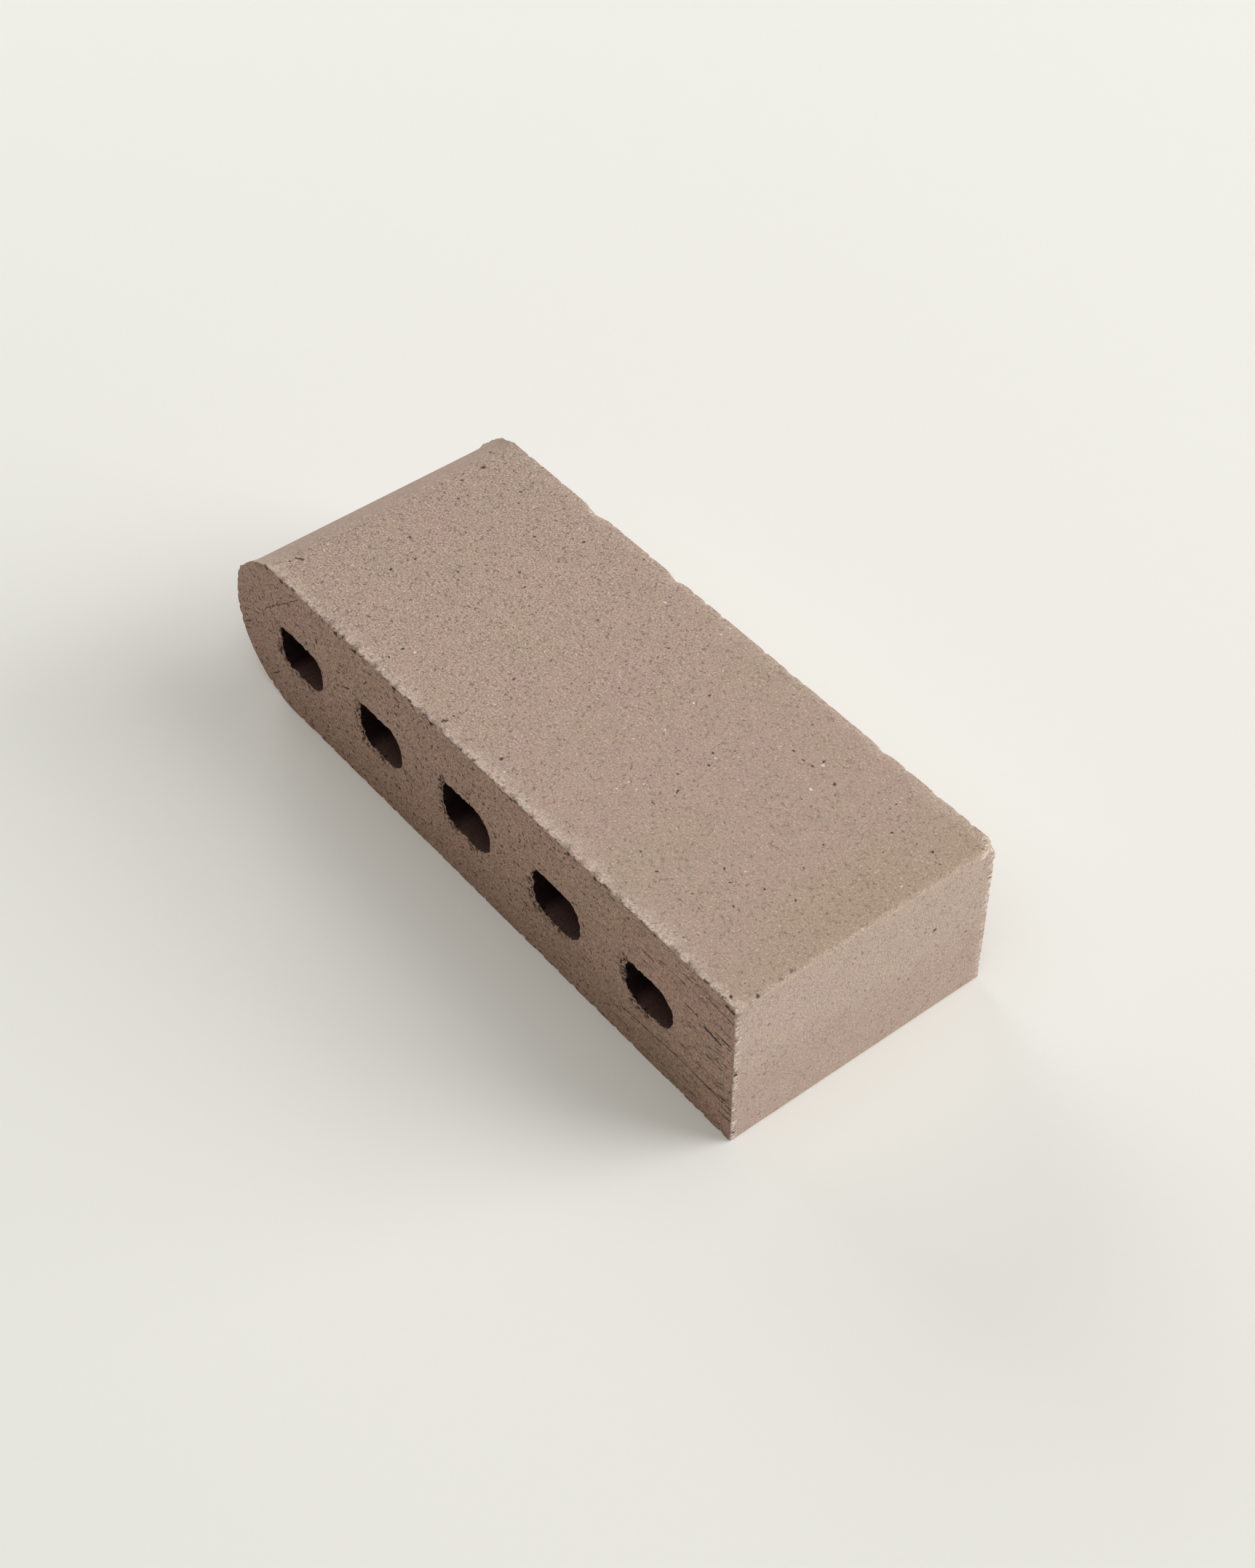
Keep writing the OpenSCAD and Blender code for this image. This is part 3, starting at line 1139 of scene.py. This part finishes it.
class PAVER_OT_clay_unit(bpy.types.Operator):
    """Builds the paver as one closed clay surface with its finishes"""

    bl_idname = "paver.clay_unit"
    bl_label = "Clay paver"

    def execute(self, context):
        scene = context.scene
        core_x = [(low[0] + high[0]) / 2 / MM for low, high in core_boxes]
        surface = paver_surface(millimetres(scene.paver_sizes), millimetres(scene.paver_wear), core_x)
        piece = clay_mesh("paver_clay", *surface)
        groups = SimpleNamespace(
            mottle=mottle_group(),
            specks=speck_group(),
            blots=blot_group(),
            grain=grain_group(),
            chalk=chalk_group(),
            mark=mark_group(),
        )
        for finish in (skin_finish, cut_finish, core_finish):
            piece.data.materials.append(finish(groups, scene.paver_colours))
        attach(piece, "root")
        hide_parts("bullnose_paver")
        return {"FINISHED"}


class PAVER_OT_stage(bpy.types.Operator):
    """Lays the pale floor and sets the soft lights and the camera"""

    bl_idname = "paver.stage"
    bl_label = "Stage"

    def execute(self, context):
        scene = context.scene
        stage = scene.paver_stage
        self.floor(scene, stage)
        self.lights(scene, stage)
        self.camera(scene, stage)
        scene.view_settings.view_transform = "Standard"
        return {"FINISHED"}

    def floor(self, scene, stage):
        """A square floor in the plane of the bed."""
        reach = 6.0
        corners = [(-reach, -reach, 0), (reach, -reach, 0), (reach, reach, 0), (-reach, reach, 0)]
        mesh = bpy.data.meshes.new("floor")
        mesh.from_pydata(corners, [], [(0, 1, 2, 3)])
        floor = bpy.data.objects.new("floor", mesh)
        scene.collection.objects.link(floor)
        material = bpy.data.materials.new("pale_floor")
        material.use_nodes = True
        shader = material.node_tree.nodes["Principled BSDF"]
        shader.inputs["Base Color"].default_value = solid(stage.floor_colour)
        shader.inputs["Roughness"].default_value = 0.9
        shader.inputs["Specular IOR Level"].default_value = 0.2
        mesh.materials.append(material)

    def lights(self, scene, stage):
        """Broad round lights that face the paver, and an even fill, with a pale surround behind the floor.

        Each light looks equally broad from the paver. Its power is the strength times the square of
        the distance and pi, over the square of the cosine of half that breadth.
        """
        right = Vector((math.cos(stage.camera_turn), math.sin(stage.camera_turn), 0))
        back = Vector((-right.y, right.x, 0))
        half_breadth = math.radians(LIGHT_BREADTH / 2)
        for name, turn, rise, distance, strength in LIGHTS:
            level = right * math.cos(math.radians(turn)) + back * math.sin(math.radians(turn))
            way = level * math.cos(math.radians(rise)) + Vector((0, 0, math.sin(math.radians(rise))))
            lamp = bpy.data.lights.new(name, "AREA")
            lamp.shape = "DISK"
            lamp.size = 2 * distance * math.tan(half_breadth)
            lamp.energy = strength * math.pi * (distance / math.cos(half_breadth)) ** 2
            lamp.color = stage.warm_colour if name in WARM_LIGHTS else (1, 1, 1)
            light = bpy.data.objects.new(name, lamp)
            scene.collection.objects.link(light)
            light.visible_camera = False
            light.location = way * distance
            light.rotation_euler = way.to_track_quat("Z", "Y").to_euler()
        world = bpy.data.worlds.new("studio")
        scene.world = world
        world.use_nodes = True
        bench = NodeBench(world.node_tree)
        fill = world.node_tree.nodes["Background"]
        fill.inputs["Color"].default_value = solid(stage.fill_colour)
        seen = bench.add("LightPath", {}).outputs["Is Camera Ray"]
        strength = bench.where(seen, SURROUND_STRENGTH, stage.fill_strength)
        world.node_tree.links.new(strength, fill.inputs["Strength"])

    def camera(self, scene, stage):
        """A camera at its place, looking down along its turn and rise."""
        lens = bpy.data.cameras.new("camera")
        lens.lens = stage.camera_lens
        camera = bpy.data.objects.new("camera", lens)
        scene.collection.objects.link(camera)
        camera.location = stage.camera_place
        level = math.cos(stage.camera_rise)
        turn = stage.camera_turn
        behind = Vector((math.sin(turn) * level, -math.cos(turn) * level, math.sin(stage.camera_rise)))
        camera.rotation_euler = (-behind).to_track_quat("-Z", "Y").to_euler()
        scene.camera = camera


class PAVER_PT_sidebar(bpy.types.Panel):
    """Lists the paver's pieces and their settings in the sidebar of the 3D view"""

    bl_idname = "PAVER_PT_sidebar"
    bl_label = "Bullnose clay paver"
    bl_space_type = "VIEW_3D"
    bl_region_type = "UI"
    bl_category = "Paver"

    def draw(self, context):
        layout = self.layout
        for operator in OPERATORS:
            layout.operator(operator.bl_idname)
        for name in SETTINGS:
            box = layout.box()
            box.label(text=name.replace("_", " ").capitalize())
            group = getattr(context.scene, name)
            for prop in group.bl_rna.properties:
                if prop.identifier not in ("rna_type", "name"):
                    box.prop(group, prop.identifier)


SETTINGS = {
    "paver_sizes": PaverSizes,
    "paver_wear": PaverWear,
    "paver_colours": PaverColours,
    "paver_stage": PaverStage,
}
OPERATORS = (PAVER_OT_clay_unit, PAVER_OT_stage)
CLASSES = (*SETTINGS.values(), *OPERATORS, PAVER_PT_sidebar)


def register():
    """Registers the classes, and the settings on the scene."""
    for cls in CLASSES:
        bpy.utils.register_class(cls)
    for name, group in SETTINGS.items():
        setattr(bpy.types.Scene, name, bpy.props.PointerProperty(type=group))


def unregister():
    """Takes the settings and the classes away again."""
    for name in SETTINGS:
        delattr(bpy.types.Scene, name)
    for cls in reversed(CLASSES):
        bpy.utils.unregister_class(cls)


def main():
    """Builds the paver and its stage."""
    register()
    bpy.ops.paver.clay_unit()
    bpy.ops.paver.stage()


if __name__ == "__main__":
    main()
